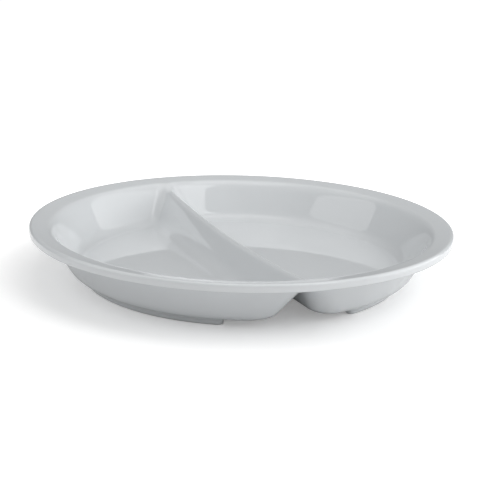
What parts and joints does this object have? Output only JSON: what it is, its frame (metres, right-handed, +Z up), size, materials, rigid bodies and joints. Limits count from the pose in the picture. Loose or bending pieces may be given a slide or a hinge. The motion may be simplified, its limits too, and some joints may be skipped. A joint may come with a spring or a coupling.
{
  "type": "two-compartment plate",
  "caption": "Round moulded plate with a flat rim and two compartments parted by a ridge that is hollow underneath, standing on raised foot arcs.",
  "frame": {"origin": "centre of the plate, on the plane that the feet stand on", "axes": "+Z up out of the plate, +X across the divider towards the large compartment, +Y along the divider"},
  "size_m": [0.25, 0.25, 0.033],
  "materials": {
    "glossy_melamine": "smooth glossy moulded white, faintly cool"
  },
  "bodies": {
    "root": {"rim": "glossy_melamine", "small_compartment": "glossy_melamine", "divider": "glossy_melamine", "large_compartment": "glossy_melamine", "small_side_foot": "glossy_melamine", "large_side_foot": "glossy_melamine"}
  },
  "joints": []
}
